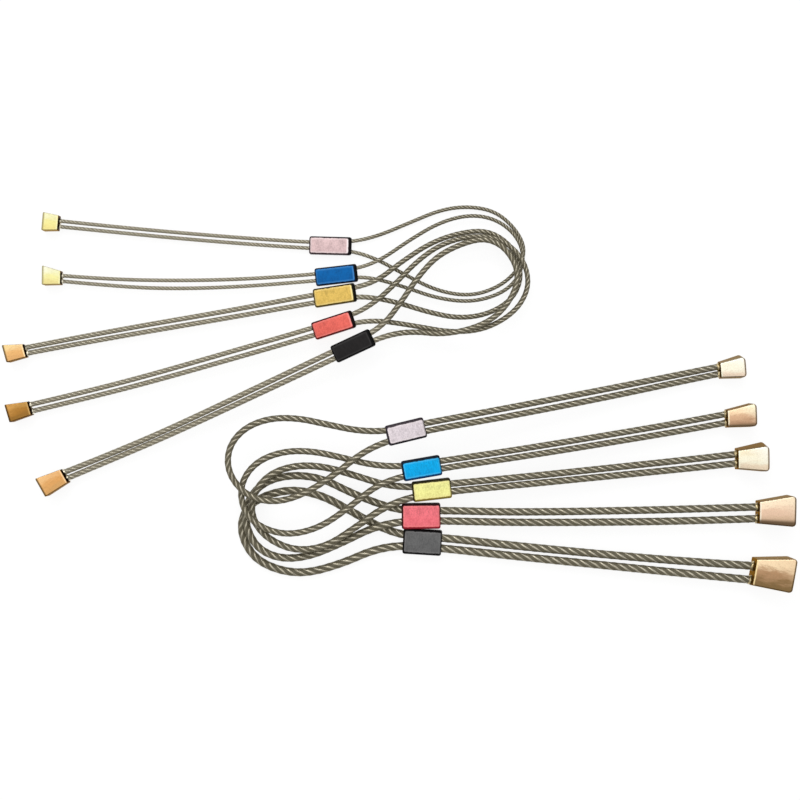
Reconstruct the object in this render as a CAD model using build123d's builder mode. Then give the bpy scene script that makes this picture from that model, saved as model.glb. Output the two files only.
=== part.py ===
"""Ten climbing micro nuts on loops of wire rope, lying in two fans of five.

Each nut is a brass wedge. Both ends of one wire rope are soldered into its small end, and a
flat sleeve holds the two legs of the loop side by side. The five straight nuts have plain
tapered wedges, the five offset nuts wedges whose base is wider than their crowned face. In
each fan the loops lie one above the other. Millimetres, +Z up, wedges on the plane z = 0.
"""

from build123d import *

import os
from dataclasses import dataclass
from math import cos, pi, radians, sin, tan

os.makedirs("parts", exist_ok=True)

# Fits, shared by every nut.
BORE_PLAY = 0.06  # round a rope in its wedge and its solder, on the radius
SLEEVE_PLAY = 0.3  # round a rope in its sleeve, on the radius
SLEEVE_SKIN = 0.6  # wall of a sleeve above and below its ropes
SLEEVE_ROLL = 0.8  # rolled long edges of a sleeve, radius
SLEEVE_END_ROUND = 0.35  # rounded ends of a sleeve, radius

STRAIGHT_SLEEVE_LENGTH = 16.1
OFFSET_SLEEVE_LENGTH = 14.6

# Solder collars, one round each leg where it leaves the wedge.
COLLAR_LENGTH = 1.0
COLLAR_FOOT = 0.5  # thickness on the wedge
COLLAR_LIP = 0.35  # thickness at the far end

# Wedges.
GROUND_TRIM = 0.02  # planed off every wedge, so that its base is one true plane
STRAIGHT_CORNER = 0.35  # long edges of a straight wedge, radius
STRAIGHT_END_BREAK = 0.25  # chamfer round its big end
OFFSET_END_CORNER = 1.4  # upright corners of the big end, radius
OFFSET_FACE_ROUND = 0.7  # round the crowned face, except at the small end, radius
OFFSET_BASE_ROUND = 0.4  # round the base, except at the small end, radius
OFFSET_CROWN = 0.35  # rise of the face between its two long edges
OFFSET_TOE = 0.4  # the base stands out this far on the side away from the flare

# Of each pair of runs at a corner of a rope's route, the arc takes this share of the shorter.
ARC_SHARE = 0.45


@dataclass
class Nut:
    """One nut's own sizes."""

    name: str
    rope: float  # diameter of the wire rope
    length: float  # wedge, small end to big end
    small_width: float
    small_height: float
    big_width: float
    big_height: float
    seat: tuple  # middle of the small end's foot, x and y
    heading: float  # the way that the rope leaves the wedge, degrees from +X
    sleeve_length: float
    sleeve_wall: float  # sleeve, beside its ropes
    route: list  # middle line of the rope, from one blind hole round to the other
    lean: float = 0.0  # the big end stands this far to the right of the small one
    small_flare: float = 0.0  # base beyond the face on the right, at the small end
    big_flare: float = 0.0  # the same at the big end

    def out(self):
        """The level direction in which the rope leaves the wedge."""
        return Vector(cos(radians(self.heading)), sin(radians(self.heading)), 0)

    def end_plane(self, back=0.0, aside=0.0):
        """A cross-section of the wedge, looking at its big end, with local y upwards."""
        right = Vector(self.out().Y, -self.out().X, 0)
        foot = Vector(self.seat[0], self.seat[1], 0) - self.out() * back + right * aside
        return Plane(origin=foot, x_dir=right, z_dir=-self.out())

    def big_end(self):
        """The cross-section at the big end."""
        return self.end_plane(self.length, self.lean)


STRAIGHT = [
    Nut(
        name="straight_1",
        rope=1.5,
        length=6.0,
        small_width=5.9,
        small_height=5.6,
        big_width=7.2,
        big_height=6.6,
        seat=(-135.0, 71.0),
        heading=-5,
        sleeve_length=STRAIGHT_SLEEVE_LENGTH,
        sleeve_wall=0.75,
        route=[
            (-138.1, 72.3, 2.8), (-118.6, 70.2, 2.8), (-88.8, 67.4, 2.4), (-58.9, 65, 2.1),
            (-35.4, 63.5, 1.9), (-19.1, 63.5, 1.7), (-8, 66, 1.4), (5, 71.5, 1.2),
            (17, 76.5, 1.2), (28, 78, 1.2), (39, 76, 1.2), (47, 69, 1.2), (51, 61, 1.2),
            (48.5, 53, 1.2), (41, 46, 1.2), (29.5, 42, 1.2), (16, 44, 1.2), (3, 50.5, 1.2),
            (-8.5, 57, 1.2), (-19.1, 60.3, 1.7), (-35.4, 61.1, 1.9), (-58.9, 62.7, 2.1),
            (-88.8, 65.1, 2.4), (-119.4, 68.1, 2.8), (-138.1, 70, 2.8),
        ],
    ),
    Nut(
        name="straight_2",
        rope=1.5,
        length=7.0,
        small_width=5.4,
        small_height=5.8,
        big_width=7.6,
        big_height=7.0,
        seat=(-134.0, 49.2),
        heading=-1,
        lean=-0.8,
        sleeve_length=STRAIGHT_SLEEVE_LENGTH,
        sleeve_wall=0.8,
        route=[
            (-136.9, 50.4, 2.9), (-120.2, 49, 2.9), (-94.7, 48.1, 2.9), (-64.8, 48.5, 2.9),
            (-34.2, 50.5, 2.9), (-16.2, 52.8, 3), (-6.5, 56.5, 3), (5, 64.5, 3),
            (17, 71.5, 3), (29, 74.5, 3), (39.5, 72.5, 3), (47.5, 66, 3), (50.5, 57.5, 3),
            (48, 49, 3), (41.5, 43, 3), (29.5, 39.5, 3), (16, 41, 3), (3, 45.5, 3),
            (-7, 48.5, 3), (-15.6, 49.8, 3), (-33.4, 48, 2.9), (-64.8, 45.5, 2.9),
            (-94.7, 44.8, 2.9), (-120.2, 46.6, 2.9), (-136.9, 48.2, 2.9),
        ],
    ),
    Nut(
        name="straight_3",
        rope=2.0,
        length=7.7,
        small_width=5.3,
        small_height=6.0,
        big_width=7.1,
        big_height=7.2,
        seat=(-148.3, 20.2),
        heading=15.5,
        lean=-0.8,
        sleeve_length=STRAIGHT_SLEEVE_LENGTH,
        sleeve_wall=0.6,
        route=[
            (-151.6, 20.8, 3), (-133.7, 24.3, 3), (-104.6, 29.7, 3.4), (-67.1, 36.1, 3.8),
            (-34.1, 42.3, 4.3), (-17.4, 45, 4.6), (-8, 48, 5), (1.5, 55.5, 5.05),
            (13, 63, 5.05), (24.5, 67, 5.05), (35.5, 68, 5.05), (44, 63, 5.05),
            (48, 56, 5.05), (49, 48, 5.05), (45, 40, 5.05), (35.5, 34.5, 5.05),
            (24, 33, 5.05), (12, 35.5, 5.05), (1, 39, 5.05), (-8, 41, 5), (-16.6, 41.8, 4.6),
            (-33.3, 39.3, 4.3), (-67.1, 33.3, 3.8), (-104.6, 27, 3.4), (-133.3, 21.9, 3),
            (-151.2, 18.5, 3),
        ],
    ),
    Nut(
        name="straight_4",
        rope=2.0,
        length=8.7,
        small_width=5.5,
        small_height=6.6,
        big_width=7.3,
        big_height=7.8,
        seat=(-146.2, -2.7),
        heading=16.5,
        lean=-0.4,
        sleeve_length=STRAIGHT_SLEEVE_LENGTH,
        sleeve_wall=0.55,
        route=[
            (-150, -2.1, 3.3), (-130.5, 2.4, 3.3), (-102.5, 9.4, 4.3), (-68.6, 19.1, 5.4),
            (-34.4, 28.9, 6.3), (-18.1, 34.2, 6.8), (-10, 38.5, 7.2), (-1.5, 46, 7.35),
            (7, 55, 7.35), (16.5, 62, 7.35), (28, 65.5, 7.35), (38.5, 65, 7.35),
            (45.5, 61, 7.35), (50.5, 54.5, 7.35), (52, 46, 7.35), (48.5, 38, 7.35),
            (41.5, 32, 7.35), (32, 28, 7.35), (20.5, 27.5, 7.35), (9, 29.5, 7.35),
            (0, 31, 7.35), (-8, 32, 7.2), (-16.9, 31.4, 6.8), (-33.6, 26.1, 6.3),
            (-68.2, 16.2, 5.4), (-102.1, 6.7, 4.3), (-130.1, -0.2, 3.3), (-149.6, -4.8, 3.3),
        ],
    ),
    Nut(
        name="straight_5",
        rope=2.2,
        length=10.1,
        small_width=6.0,
        small_height=7.5,
        big_width=8.2,
        big_height=8.7,
        seat=(-132.3, -29.6),
        heading=29.5,
        lean=-0.5,
        sleeve_length=STRAIGHT_SLEEVE_LENGTH,
        sleeve_wall=0.6,
        route=[
            (-135.6, -29.3, 3.8), (-117.7, -22.3, 3.8), (-90.4, -10.8, 5.3),
            (-56.5, 5.2, 7), (-26.4, 19.4, 8.8), (-11.3, 26.4, 9.3), (-4.5, 31.5, 9.7),
            (1.5, 39.5, 9.75), (7.5, 48.5, 9.75), (15, 57, 9.75), (24.5, 62, 9.75),
            (34, 64.5, 9.75), (41.5, 61.5, 9.75), (46.5, 54.5, 9.75), (47.5, 47.5, 9.75),
            (44, 39, 9.75), (37, 32, 9.75), (27, 28, 9.75), (16.5, 26.5, 9.75),
            (8, 27.5, 9.75), (-0.5, 27, 9.7), (-9.4, 24.3, 9.3), (-24.8, 17.1, 8.8),
            (-55.3, 2.9, 7), (-89.4, -12.9, 5.3), (-116.7, -24.4, 3.8), (-134.4, -31.8, 3.8),
        ],
    ),
]

OFFSET = [
    Nut(
        name="offset_1",
        rope=2.5,
        length=9.8,
        small_width=5.9,
        small_height=6.5,
        big_width=8.2,
        big_height=8.0,
        seat=(128.2, 12.35),
        heading=184.5,
        lean=0.6,
        sleeve_length=OFFSET_SLEEVE_LENGTH,
        sleeve_wall=0.5,
        small_flare=0.6,
        big_flare=1.3,
        route=[
            (133.5, 15, 3.3), (116.4, 11.6, 3.3), (84.2, 5.2, 6), (40.4, -3.1, 9.6),
            (10.7, -8.5, 12.2), (-4.2, -11.7, 13.3), (-15.5, -11.5, 14.4), (-27.5, -9, 14.65),
            (-39, -6.5, 14.65), (-50, -6.5, 14.65), (-59.5, -10, 14.65), (-65.5, -16.5, 14.65),
            (-67, -24.5, 14.65), (-64, -32, 14.65), (-57, -38, 14.65), (-47, -39.5, 14.65),
            (-36, -36, 14.65), (-24.5, -28.5, 14.65), (-14, -20, 14.4), (-3.6, -15.3, 13.3),
            (11.5, -11.3, 12.2), (40.4, -6.5, 9.6), (84.2, 1.9, 6), (116.4, 8.7, 3.3),
            (133.5, 12.1, 3.3),
        ],
    ),
    Nut(
        name="offset_2",
        rope=2.5,
        length=11.2,
        small_width=6.6,
        small_height=7.5,
        big_width=9.3,
        big_height=9.5,
        seat=(130.8, -6.8),
        heading=182,
        lean=1.3,
        sleeve_length=OFFSET_SLEEVE_LENGTH,
        sleeve_wall=0.5,
        small_flare=0.3,
        big_flare=0.2,
        route=[
            (136.2, -3.9, 3.8), (118.3, -7.4, 3.8), (88.1, -12.5, 6), (46.3, -19.2, 8.4),
            (17.1, -23.4, 10.4), (1.7, -25.7, 11.2), (-10, -25, 11.7), (-22, -22, 11.75),
            (-33.5, -19.5, 11.75), (-44.5, -19.5, 11.75), (-54.5, -23, 11.75),
            (-60.5, -29.5, 11.75), (-62, -37, 11.75), (-59.5, -45, 11.75), (-52, -50.5, 11.75),
            (-42, -52.5, 11.75), (-30.5, -49.5, 11.75), (-19.5, -42, 11.75), (-8.5, -33, 11.7),
            (2.5, -29.2, 11.2), (17.8, -26.2, 10.4), (46.7, -22.2, 8.4), (88.1, -15.7, 6),
            (118.7, -10.7, 3.8), (136.6, -7.3, 3.8),
        ],
    ),
    Nut(
        name="offset_3",
        rope=2.7,
        length=11.9,
        small_width=7.4,
        small_height=8.5,
        big_width=10.2,
        big_height=10.5,
        seat=(134.8, -23.0),
        heading=180.5,
        lean=0.3,
        sleeve_length=OFFSET_SLEEVE_LENGTH,
        sleeve_wall=0.5,
        small_flare=0.7,
        big_flare=1.7,
        route=[
            (139.2, -20.4, 4.3), (121.4, -22.5, 4.3), (90.2, -25.7, 5.6), (50.4, -29.8, 7.1),
            (21.5, -32.4, 8.3), (6, -34, 8.6), (-5, -33, 8.75), (-16, -29.5, 8.75),
            (-27.5, -26, 8.75), (-38.5, -25, 8.75), (-48.5, -27.5, 8.75), (-55, -33, 8.75),
            (-58, -40, 8.75), (-57, -47.5, 8.75), (-51, -54.5, 8.75), (-40.5, -59, 8.75),
            (-28.5, -57.5, 8.75), (-17, -50, 8.75), (-6, -42, 8.75), (6, -37.4, 8.6),
            (21.8, -35.4, 8.3), (50.4, -32.8, 7.1), (90.2, -29, 5.6), (121.8, -26, 4.3),
            (139.6, -24, 4.3),
        ],
    ),
    Nut(
        name="offset_4",
        rope=3.0,
        length=13.8,
        small_width=8.8,
        small_height=9.5,
        big_width=12.4,
        big_height=12.5,
        seat=(143.0, -43.9),
        heading=178.7,
        lean=1.0,
        sleeve_length=OFFSET_SLEEVE_LENGTH,
        sleeve_wall=1.1,
        route=[
            (148.7, -41.7, 4.8), (130, -42.3, 4.8), (98.2, -43.2, 5.1), (47.3, -44, 5.4),
            (17.2, -43.2, 5.6), (2.1, -43.4, 5.6), (-8, -40.5, 5.6), (-19, -36, 5.6),
            (-30, -30.5, 5.6), (-41, -29, 5.6), (-51, -31, 5.6), (-57.5, -36, 5.6),
            (-60.5, -42.5, 5.6), (-60, -50.5, 5.6), (-55.5, -58.5, 5.6), (-46.5, -62.5, 5.6),
            (-35, -61.5, 5.6), (-22, -56, 5.6), (-10, -50, 5.6), (2.1, -47.4, 5.6),
            (17.2, -47.3, 5.6), (47.3, -48.1, 5.4), (98.2, -47.8, 5.1), (130, -47, 4.8),
            (148.7, -46.3, 4.8),
        ],
    ),
    Nut(
        name="offset_5",
        rope=3.2,
        length=15.2,
        small_width=10.6,
        small_height=11.0,
        big_width=13.8,
        big_height=14.0,
        seat=(140.8, -67.3),
        heading=170,
        lean=1.4,
        sleeve_length=OFFSET_SLEEVE_LENGTH,
        sleeve_wall=0.9,
        route=[
            (146.5, -65.6, 5.5), (127.9, -64.4, 5.5), (96.3, -62.1, 4.7), (48.2, -57.6, 3.9),
            (18, -54.2, 3.2), (2.9, -53.6, 2.8), (-8.5, -49.5, 2.2), (-19, -43.5, 2.2),
            (-30, -37.5, 2.2), (-41.5, -35, 2.2), (-52, -37, 2.2), (-59.5, -41.5, 2.2),
            (-62.5, -48, 2.2), (-61.5, -55.5, 2.2), (-56.5, -63, 2.2), (-47, -67.5, 2.2),
            (-36, -68.5, 2.2), (-22, -64.5, 2.2), (-9.5, -59, 2.2), (2.3, -57.2, 2.8),
            (17.6, -58.4, 3.2), (48.2, -61.7, 3.9), (96.3, -66.5, 4.7), (127.9, -69.6, 5.5),
            (146.5, -71.4, 5.5),
        ],
    ),
]


def save(part, name, piece):
    """Labels one piece and writes it as its own file."""
    part.label = f"{name}_{piece}"
    export_step(part, f"parts/{part.label}.step")


def rope_ends(nut):
    """A plane on each end of the rope, looking along its first run out of the wedge."""
    out_and_back = (nut.route[:2], nut.route[:-3:-1])
    return [Plane(origin=end, z_dir=Vector(next_point) - Vector(end)) for end, next_point in out_and_back]


def rope_holes(nut):
    """What both blind holes for the rope take out of the wedge and its solder."""
    reach = nut.length + COLLAR_LENGTH
    with BuildPart() as holes:
        for end in rope_ends(nut):
            with BuildSketch(end):
                Circle(nut.rope / 2 + BORE_PLAY)
            extrude(amount=reach)
    return holes.part


def straight_section(plane, width, height):
    """One end of a straight wedge: a block's section with broken corners, on the ground."""
    with BuildSketch(plane) as section:
        with Locations((0, (height - GROUND_TRIM) / 2)):
            RectangleRounded(width, height + GROUND_TRIM, STRAIGHT_CORNER)
    return section.sketch


def offset_section(plane, width, height, flare):
    """One end of an offset wedge: a base wider than the face, and the face crowned."""
    shoulder = height - OFFSET_CROWN
    toe, heel = (-width / 2 - OFFSET_TOE, -GROUND_TRIM), (width / 2 + flare, -GROUND_TRIM)
    left, right = (-width / 2, shoulder), (width / 2, shoulder)
    with BuildSketch(plane) as section:
        with BuildLine():
            Polyline(left, toe, heel, right)
            ThreePointArc(right, (0, height), left)
        make_face()
    return section.sketch


def way_back(nut):
    """An axis from the small end to the big end, to sort faces and edges along."""
    return Axis(nut.route[0], -nut.out())


def big_end_edges(nut, wedge):
    """The edges round the wedge's big end, the lowest first."""
    return wedge.faces().sort_by(way_back(nut))[-1].edges().sort_by(Axis.Z)


def edges_past_small_end(nut, face):
    """The edges round a face of the wedge, without the one at the small end."""
    return face.edges().sort_by(way_back(nut))[1:]


def make_straight_wedge(nut):
    small = straight_section(nut.end_plane(), nut.small_width, nut.small_height)
    big = straight_section(nut.big_end(), nut.big_width, nut.big_height)
    holes = rope_holes(nut)
    with BuildPart() as wedge:
        loft([small, big], ruled=True)
        chamfer(big_end_edges(nut, wedge), STRAIGHT_END_BREAK)
        split(bisect_by=Plane.XY)
        add(holes, mode=Mode.SUBTRACT)
    return wedge.part


def make_offset_wedge(nut):
    small = offset_section(nut.end_plane(), nut.small_width, nut.small_height, nut.small_flare)
    big = offset_section(nut.big_end(), nut.big_width, nut.big_height, nut.big_flare)
    holes = rope_holes(nut)
    with BuildPart() as wedge:
        loft([small, big], ruled=True)
        fillet(big_end_edges(nut, wedge)[1:-1], OFFSET_END_CORNER)
        fillet(edges_past_small_end(nut, wedge.faces().sort_by(Axis.Z)[-1]), OFFSET_FACE_ROUND)
        fillet(edges_past_small_end(nut, wedge.faces().sort_by(Axis.Z)[0]), OFFSET_BASE_ROUND)
        split(bisect_by=Plane.XY)
        add(holes, mode=Mode.SUBTRACT)
    return wedge.part


def make_solder(nut):
    """The solder round both legs, standing on the wedge's small end."""
    face = nut.end_plane()
    radius = nut.rope / 2 + BORE_PLAY
    holes = rope_holes(nut)
    with BuildPart() as solder:
        for end in rope_ends(nut):
            run = (end.origin - face.origin).dot(face.z_dir) / -end.z_dir.dot(face.z_dir)
            foot = end.origin + end.z_dir * run
            with Locations(Plane(origin=foot, z_dir=nut.out())):
                Cone(
                    radius + COLLAR_FOOT,
                    radius + COLLAR_LIP,
                    COLLAR_LENGTH,
                    align=(Align.CENTER, Align.CENTER, Align.MIN),
                )
        add(holes, mode=Mode.SUBTRACT)
    return solder.part


def arc_radii(points):
    """The radius of the arc at each corner of a route, as large as its two runs allow."""
    radii = []
    for before, corner, after in zip(points, points[1:], points[2:]):
        run_in, run_out = corner - before, after - corner
        turn = radians(run_in.get_angle(run_out))
        radii.append(ARC_SHARE * min(run_in.length, run_out.length) / tan(turn / 2))
    return radii


def make_rope(nut):
    points = [Vector(point) for point in nut.route]
    radii = arc_radii(points)
    with BuildPart() as rope:
        with BuildLine() as path:
            FilletPolyline(*points, radius=radii)
        with BuildSketch(Plane(origin=path.line @ 0, z_dir=path.line % 0)):
            Circle(nut.rope / 2)
        sweep()
    length = path.wire().length
    fill = rope.part.volume / (pi * nut.rope**2 / 4 * length)
    print(f"{nut.name} rope {length:.0f} mm, volume / section x length {fill:.4f}, radii")
    print("   ", " ".join(f"{radius:.0f}" for radius in radii))
    return rope.part


def sleeve_legs(nut):
    """The two legs' middles at the sleeve, first on the wedge's side and then on the loop's.

    It sits between the fifth and the sixth point of the route, counted from either end.
    """
    out, back = nut.route[4:6], nut.route[-5:-7:-1]
    return [(Vector(a), Vector(b)) for a, b in zip(out, back)]


def sleeve_plane(nut):
    """The middle of the sleeve, looking towards the loop, with local y upwards."""
    tail, loop = ((out + back) / 2 for out, back in sleeve_legs(nut))
    along = (loop - tail).normalized()
    return Plane(origin=(tail + loop) / 2, x_dir=(-along.Y, along.X, 0), z_dir=along)


def leg_spread(nut):
    """The widest distance between the two legs in the sleeve, middle to middle."""
    return max((out - back).length for out, back in sleeve_legs(nut))


def make_sleeve(nut):
    """A flat tube round both legs, open at its two ends."""
    slot_height = nut.rope + 2 * SLEEVE_PLAY
    slot_width = leg_spread(nut) + slot_height
    width = slot_width + 2 * nut.sleeve_wall
    height = slot_height + 2 * SLEEVE_SKIN
    with BuildPart() as sleeve:
        with BuildSketch(sleeve_plane(nut)):
            RectangleRounded(width, height, SLEEVE_ROLL)
        extrude(amount=nut.sleeve_length / 2, both=True)
        ends = sleeve.faces().sort_by(Axis(nut.route[0], sleeve_plane(nut).z_dir))
        fillet(ends[0].edges() + ends[-1].edges(), SLEEVE_END_ROUND)
        with BuildSketch(sleeve_plane(nut)):
            SlotOverall(slot_width, slot_height)
        extrude(amount=nut.sleeve_length / 2, both=True, mode=Mode.SUBTRACT)
    return sleeve.part


for nut in STRAIGHT:
    save(make_straight_wedge(nut), nut.name, "wedge")
for nut in OFFSET:
    save(make_offset_wedge(nut), nut.name, "wedge")
for nut in STRAIGHT + OFFSET:
    save(make_solder(nut), nut.name, "solder")
    save(make_rope(nut), nut.name, "cable")
    save(make_sleeve(nut), nut.name, "sleeve")
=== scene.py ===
"""Ten climbing nuts on wire loops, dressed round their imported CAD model.

The file is laid out as an add-on. Each operator makes or finishes one group of like pieces, and
main() calls them in order. Lengths are in metres, in the CAD model's own frame, and only the list of
nuts is written in millimetres.
"""

import functools
import math
from dataclasses import dataclass

import bpy
import numpy as np
from bpy.props import FloatProperty, FloatVectorProperty, PointerProperty
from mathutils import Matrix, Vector, noise


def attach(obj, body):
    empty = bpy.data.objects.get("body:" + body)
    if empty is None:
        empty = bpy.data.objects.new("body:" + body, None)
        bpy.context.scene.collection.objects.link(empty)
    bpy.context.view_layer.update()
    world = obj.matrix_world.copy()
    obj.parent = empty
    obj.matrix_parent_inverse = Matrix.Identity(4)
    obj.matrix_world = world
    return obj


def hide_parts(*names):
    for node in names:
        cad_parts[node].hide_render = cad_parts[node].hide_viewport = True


bl_info = {
    "name": "Climbing nuts on wire",
    "version": (1, 0, 0),
    "blender": (4, 5, 0),
    "location": "3D View > Sidebar > Nuts",
    "description": "Makes the wire ropes, wedges, solder and sleeves of ten climbing nuts",
    "category": "Object",
}

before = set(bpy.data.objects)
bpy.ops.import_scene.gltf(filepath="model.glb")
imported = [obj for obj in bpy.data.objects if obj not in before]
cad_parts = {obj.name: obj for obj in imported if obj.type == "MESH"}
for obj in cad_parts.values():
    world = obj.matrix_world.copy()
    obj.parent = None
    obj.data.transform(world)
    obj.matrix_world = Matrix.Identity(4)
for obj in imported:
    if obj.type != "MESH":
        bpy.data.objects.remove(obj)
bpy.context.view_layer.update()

MM = 0.001
UP = Vector((0, 0, 1))

STRANDS = 4  # round the core of every rope
STRAND_MIDDLES = 0.3  # from the rope's middle, in rope diameters
STRAND_RADIUS = 0.222  # so that neighbours press together, in rope diameters
CORE_RADIUS = 0.49  # packed grease and wire between the strands, in rope diameters
STRAND_RING = 12  # corners round one strand
CORE_RING = 20  # corners round the core
STEPS_PER_TURN = 20  # along one turn of a strand
ROUTE_STEPS = 24  # of the smooth curve, between two points of a route
WIRES = 9  # that show round one strand
WIRE_SLANT = 3.0  # radians that their pattern turns in one rope diameter along
DIRT_AND_SHADE_FADE = 12 * MM  # from the legs' grime and painted shade to the loop's, past the sleeve

SLEEVE_ROUND = 0.9 * MM  # of the sleeves' ends
SLEEVE_ROLL = 0.8 * MM  # of their long edges
SLEEVE_PLAY = 0.15 * MM  # between the hole and the legs
SLEEVE_FLARE = 0.15 * MM  # of the hole's mouths
SLEEVE_MOUTH = 0.3 * MM  # how deep the flare goes
SLEEVE_SWELL = 0.2 * MM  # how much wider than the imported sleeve, on each side
SLEEVE_REACH = 0.8 * MM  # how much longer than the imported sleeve, towards the loop
SLEEVE_CORNER = 7  # steps round a quarter of a sleeve's section
SLEEVE_END_STEPS = 5  # of rounding at each end

COLLAR_LENGTH = 1.1 * MM
COLLAR_FOOT = 0.5 * MM  # how far the solder spreads on the wedge, from the rope
COLLAR_RING = 28  # corners round one collar
COLLAR_LUMPS = 0.7  # how far lumps change its thickness, as a share
COLLAR_WAVES = 0.4  # how far waves change its height, as a share
# Height and thickness of a collar from its foot to its lip, as shares of the two sizes above.
COLLAR_PROFILE = [
    (-0.05, 1.0), (0.06, 0.92), (0.2, 0.66), (0.4, 0.5),
    (0.62, 0.42), (0.82, 0.3), (0.95, 0.14), (1.0, -0.02),
]

FLOOR_HALF = 3.0
FLOOR_DROP = 0.1 * MM  # so that nothing shares a plane with the floor
PAPER_GLOW = 0.87  # what the camera sees of the paper without its shadows and light
CAMERA_PLACE = (0.9 * MM, 0.6 * MM)
TOP_LIGHT = ((0, 0.1, 1.7), (2.2, 1.6))  # where it hangs, and its sides
SIDE_LIGHT = ((-0.25, 1.1, 1.3), (1.0, 0.7))


def metres(size):
    """A size in millimetres, or a tuple or list of them, in metres."""
    if isinstance(size, (tuple, list)):
        return type(size)(metres(part) for part in size)
    return round(size * MM, 6)


@dataclass
class Nut:
    """What the looks need to know of one nut: written in millimetres, and kept in metres."""

    name: str
    rope: float  # diameter of the wire rope
    rope_length: float
    seat: tuple  # middle of the wedge's small end, on the ground
    heading: float  # the way that the rope leaves the wedge, degrees from +X
    wedge_length: float
    small_width: float  # of the wedge's face
    big_width: float
    lean: float  # the big end stands this far to the right of the small one, seen from the rope
    route: list  # middle line of the rope, from one blind hole round to the other

    def __post_init__(self):
        for field, size in list(vars(self).items()):
            if field not in ("name", "heading"):
                setattr(self, field, metres(size))

    def out(self):
        """The level direction in which the rope leaves the wedge."""
        turn = math.radians(self.heading)
        return Vector((math.cos(turn), math.sin(turn), 0))

    def leg_exits(self):
        """Where each leg crosses the wedge's small end, with its direction there."""
        exits = []
        for inside, outside in (self.route[:2], self.route[:-3:-1]):
            start, along = Vector(inside), (Vector(outside) - Vector(inside)).normalized()
            to_face = Vector((*self.seat, start.z)) - start
            exits.append((start + along * (to_face.dot(self.out()) / along.dot(self.out())), along))
        return exits

    def sleeve_ends(self):
        """The middle of the sleeve's tail and of its end towards the loop."""
        route = [Vector(point) for point in self.route]
        return (route[4] + route[-5]) / 2, (route[5] + route[-6]) / 2


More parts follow.
